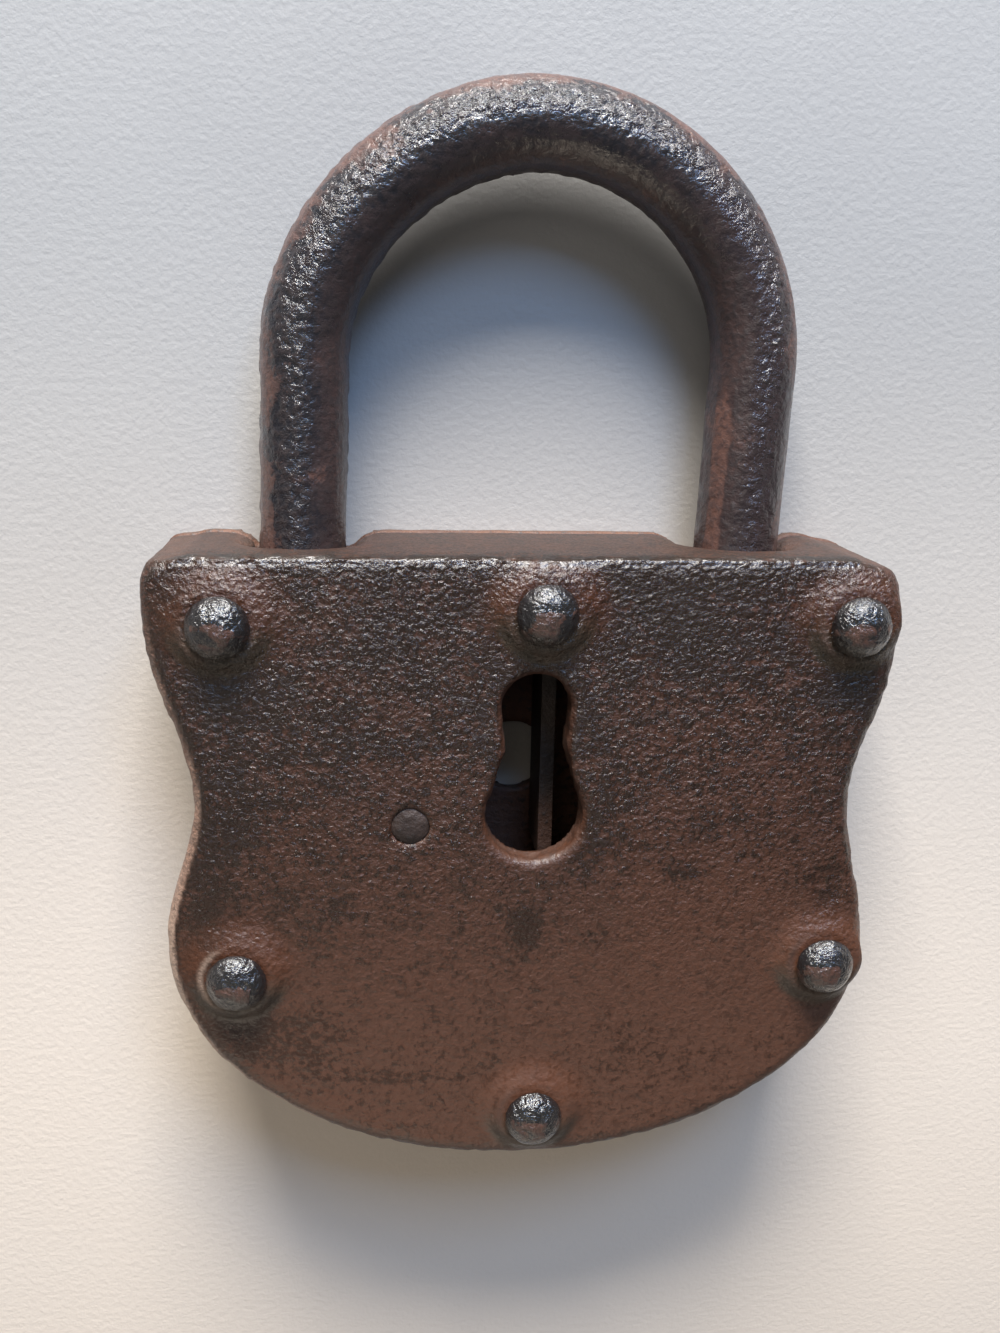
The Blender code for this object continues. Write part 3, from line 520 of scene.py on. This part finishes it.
def case_shape(p, n, edges):
    """Cast pits, worn top edge, battered keyhole rim, fillets above the domes, and the looks' masks."""
    x, y, z = p.T
    tilt = 1 - np.abs(n[:, 2])
    front = smooth(n[:, 2], 0.55, 0.85) * smooth(z, FACE_Z - 3.2, FACE_Z - 1.5)
    left = smooth(-n[:, 0], 0.16, 0.4) * smooth(-y, 6.0, 12.0)
    side = np.maximum(smooth(tilt, 0.45, 0.85), left * smooth(tilt, 0.07, 0.20))
    # Painted shade: a dark line along the rounding between the face and its left side.
    left_edge_shade = left * smooth(tilt, 0.01, 0.03) * (1 - smooth(tilt, 0.07, 0.12))
    top = smooth(y, 0.35, 0.95) * smooth(n[:, 1], 0.3, 0.7)
    away, lift, crescent, halo = round_rivets(p, n)
    gap = keyhole_gap(x, y)
    rim = (1 - smooth(gap, 0.3, 1.3)) * smooth(z, FACE_Z - 5.5, FACE_Z - 2.0)
    rim = np.maximum(rim, 0.6 * (1 - smooth(gap, 0.9, 2.6)) * smooth(-y, 40.0, 43.5) * (z > FACE_Z - 2))
    line = smooth(y, 0.15, 0.5) * (1 - smooth(y, 0.9, 1.4)) * smooth(z, FACE_Z - 2.6, FACE_Z - 1.4)
    line = line * smooth(wave(p, 2.6, (7, 7, 2)), 0.35, 0.6)
    gleam = smooth(y, -1.2, -0.5) * (1 - smooth(y, 0.9, 1.2)) * smooth(z, FACE_Z - 2.0, FACE_Z - 1.2)
    gleam = gleam * smooth(wave(p, 1.7, (3, 7, 4)), 0.32, 0.45)

    depth = pits(p, 0.03, (0.10, 1.4, (3, 1, 4)), (0.14, 4.6, (9, 2, 6)), (0.22, 19, (5, 3, 5)))
    edge = smooth(tilt, 0.05, 0.3) * smooth(z, FACE_Z - 4.5, FACE_Z - 2.5)
    depth += edge * 0.60 * np.maximum(wave(p, 2.3, (1, 5, 9)) - 0.42, 0)
    brow = smooth(y, -2.2, -0.4) * smooth(z, FACE_Z - 2.0, FACE_Z - 0.8)
    depth += brow * 0.34 * wave(p, 1.25, (4, 5, 2))
    depth += 0.35 * (1 - smooth(gap, 0.2, 1.4)) * (z > FACE_Z - 4) * wave(p, 2.0, (2, 6, 5))
    dent = (1 - smooth(np.abs(x - DENT_X), 2.0, 2.7)) * (1 - smooth(np.abs(y - DENT_Y), 2.2, 3.0)) * front
    depth += dent * (0.18 + 0.3 * wave(p, 1.5, (8, 9, 7)))
    depth += 0.6 * np.exp(-((y - NICK_Y) ** 2 + (z - NICK_Z) ** 2 * 0.4) / 0.5) * (x < -50)
    right_x, right_y = RIVETS["rivet_top_right"]
    crease = np.exp(-((np.hypot(x - right_x, y - right_y) - CREASE_REACH) / 0.45) ** 2)
    crease = crease * smooth(-(y - right_y) - 0.3 * (x - right_x), -0.5, 2.0) * (x < 49) * front
    depth += 0.35 * crease

    p = p - n * depth[:, None]
    bevel = BEVEL_Y * (p[:, 1] + 0.3) + BEVEL_Z * (p[:, 2] - FACE_Z) + 0.10 + 0.30 * wave(p, 1.1, (6, 2, 7))
    bevel = np.where((y > -2) & (z > FACE_Z - 3), np.maximum(bevel, 0), 0)
    p[:, 1] -= BEVEL_Y * bevel
    p[:, 2] -= BEVEL_Z * bevel
    p[:, 2] += lift
    p = relax(p, edges, 4, 0.5 * np.where(z > FACE_Z - 2, (away > 2.6) * (away < FILLET_REACH), 0))
    # The black oxide mark also takes the painted shade along the left edge's rounding.
    soot = soot_on(x, y) * np.maximum(front, 0.35) + 0.9 * left_edge_shade + 0.9 * crease
    return p, {"soot": soot, "halo": halo, "crescent": crescent, "top": top, "side": side * (1 - top),
               "rim": rim, "line": line, "gleam": gleam}


# ---------------------------------------------------------------- plate, rivets, shackle
def plate_shape(p, n, edges):
    """Shallow pits on the flats and deeper ones along the plate's edge."""
    side = smooth(1 - np.abs(n[:, 2]), 0.3, 0.8)
    depth = pits(p, 0.02, (0.06, 1.6, (4, 4, 1)), (side * 0.22, 3.0, (7, 1, 1)))
    return p - n * depth[:, None], {"side": side}


def rivet_shape(centre):
    """The shaping of one rivet: a dented dome on a plain shank."""
    def shape(p, n, edges):
        x, y = p[:, 0] - centre[0], p[:, 1] - centre[1]
        head = smooth(p[:, 2], FACE_Z + 0.4, FACE_Z + 1.6)
        depth = head * pits(p, 0.04, (0.16, 1.7, (2, 8, 1)), (0.22, 4.2, (6, 1, 8)))
        crown = 1 - smooth(np.hypot(x + 0.3, y + 0.6), 1.2, 3.4)
        low = smooth(-y, 1.6, 3.8) * (np.hypot(x, y) > 2)
        marks = {"crown": crown, "low": low, "shine": smooth(y, 0.6, 1.8)}
        return relax(p - n * depth[:, None], edges, 1, 0.4 * head), marks

    return shape


def stud_shape(p, n, edges):
    """The stud's end is peened out, so no gap shows round it."""
    edge = 2.95
    reach = np.hypot(*(p[:, :2] - STUD_SPOT).T)
    spread = np.minimum(1.62, edge / np.maximum(reach, 0.1))
    spread = 1 + (spread - 1) * smooth(p[:, 2], FACE_Z - 1.6, FACE_Z - 1.0)
    depth = 0.05 + 0.22 * wave(p, 1.3, (2, 2, 5)) * smooth(p[:, 2], FACE_Z - 1.6, FACE_Z - 0.9)
    p = p - n * depth[:, None]
    p[:, :2] = STUD_SPOT + (p[:, :2] - STUD_SPOT) * spread[:, None]
    cap = smooth(p[:, 2], FACE_Z - 0.75, FACE_Z - 0.5)
    p[:, 2] += cap * (0.12 - 0.36 * smooth(reach * spread, 1.5, edge))
    return p, {}


def shackle_shape(p, n, edges):
    """Hammered lumps along the bar's upper front, slight pits elsewhere and a thin parting fin."""
    turn = np.array(Matrix.Rotation(LEAN, 3, "Z"))
    q = (p - np.array((SHACKLE_SHIFT, 0, 0))) @ turn.T
    m = n @ turn.T
    up = np.maximum(q[:, 1] - ARCH_HEIGHT, 0)
    ray = np.stack([q[:, 0], up, np.zeros(len(q))], axis=1)
    ray /= np.maximum(np.linalg.norm(ray, axis=1), 0.01)[:, None]
    outer = (m * ray).sum(axis=1)
    front = m[:, 2]
    # The ridge of lumps faces the viewer on the legs and turns outwards round the hoop.
    lifted = smooth(q[:, 1], 20, 45)
    aim = 0.18 + 0.30 * lifted
    ridge = np.exp(-((outer - aim) / 0.42) ** 2) * smooth(front, 0.15, 0.6) * (0.55 + 0.45 * lifted)
    right_leg = (1 - smooth(q[:, 1], 18, 36)) * (q[:, 0] > 0)
    stripe = right_leg * np.exp(-((outer + 0.78) / 0.2) ** 2) * smooth(front, 0.1, 0.45)
    lumps = (0.08 + 0.42 * ridge, 1.35, (3, 3, 8))
    depth = pits(p, 0.03, lumps, (0.12, 3.4, (1, 7, 3)), (0.18, 13, (8, 2, 2)))
    fin = np.exp(-((p[:, 2] - LEG_Z) / 0.5) ** 2) * np.abs(outer)
    depth -= 0.24 * fin * smooth(wave(p, 1.9, (6, 6, 1)), 0.35, 0.7)
    return p - n * np.maximum(depth, 0)[:, None], {"outer": outer, "ridge": ridge, "stripe": stripe}


# ---------------------------------------------------------------- build the looks
skin("front_case", "case", 0.66, case_shape, case_look())
skin("back_plate", "case", 0.72, plate_shape, plate_look())
dome = rivet_look()
for rivet, spot in RIVETS.items():
    skin(rivet, "case", 0.34, rivet_shape(spot), dome)
skin("shackle", "shackle", 0.5, shackle_shape, shackle_look())

stud_iron = inner_look("stud_iron", (9, 4, 2), (0.024, 0.014, 0.011))
skin("bolt_stud", "case", 0.3, stud_shape, stud_iron, spare=0.8)

finishes = {
    "bolt": inner_look("bolt_iron", (4, 1, 7), (0.016, 0.009, 0.006), 0.5),
    "nose_stud": inner_look("nose_stud_iron", (2, 4, 2), (0.060, 0.036, 0.026)),
    "shackle_stop_pin": inner_look("pin_iron", (6, 4, 9), (0.060, 0.036, 0.026)),
    "bolt_spring": steel_look(),
}
for node, finish in finishes.items():
    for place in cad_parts[node].material_slots:
        place.material = finish

# ---------------------------------------------------------------- stage, light and camera
FLOOR_HALF = 3.0
FLOOR_DROP = 0.0001  # keeps the back plate's flat face clear of the floor
STUDIO_GREY = (0.90, 0.90, 0.90, 1)
STUDIO_STRENGTH = 0.17
CAMERA_PLACE = (-0.02005, 0.0416625, 0.1862)
CAMERA_LENS = 31.03

bm = bmesh.new()
bmesh.ops.create_grid(bm, x_segments=1, y_segments=1, size=FLOOR_HALF)
ground = bpy.data.meshes.new("floor")
bm.to_mesh(ground)
bm.free()
floor = bpy.data.objects.new("floor", ground)
floor.location.z = -FLOOR_DROP
bpy.context.scene.collection.objects.link(floor)
ground.materials.append(floor_look())


def area_light(name, place, size, power, colour):
    """A soft rectangular lamp that faces the lock. Metres and watts."""
    data = bpy.data.lights.new(name, "AREA")
    data.shape = "RECTANGLE"
    data.size, data.size_y = size
    data.energy = power
    data.color = colour
    lamp = bpy.data.objects.new(name, data)
    lamp.location = place
    lamp.rotation_euler = (-Vector(place)).to_track_quat("-Z", "Y").to_euler()
    bpy.context.scene.collection.objects.link(lamp)


area_light("key", (-0.05, 0.86, 0.37), (0.44, 0.28), 27.0, (1.0, 0.96, 0.90))
area_light("window", (0.16, 0.66, 0.62), (0.34, 0.26), 5.6, (0.32, 0.56, 1.0))
area_light("room", (-0.45, 0.45, 1.05), (0.9, 0.7), 1.8, (1.0, 0.93, 0.84))
area_light("bounce", (-0.20, -0.95, 0.55), (0.7, 0.3), 1.8, (1.0, 0.86, 0.70))

world = bpy.data.worlds.new("studio")
world.use_nodes = True
world.node_tree.nodes["Background"].inputs["Color"].default_value = STUDIO_GREY
world.node_tree.nodes["Background"].inputs["Strength"].default_value = STUDIO_STRENGTH
bpy.context.scene.world = world
bpy.context.scene.view_settings.view_transform = "Standard"

# The camera was fitted to the photograph. These are its own axes.
RIGHT = Vector((0.99564, 0.01879, 0.09133))
UP = Vector((0.00456, 0.96848, -0.24905))
BACK = Vector((-0.09313, 0.24838, 0.96418))
lens = bpy.data.cameras.new("camera")
lens.sensor_width = 36.0
lens.lens = CAMERA_LENS
lens.clip_start = 0.01
camera = bpy.data.objects.new("camera", lens)
axes = Matrix((RIGHT, UP, BACK)).transposed().to_4x4()
camera.matrix_world = Matrix.Translation(CAMERA_PLACE) @ axes
bpy.context.scene.collection.objects.link(camera)
bpy.context.scene.camera = camera
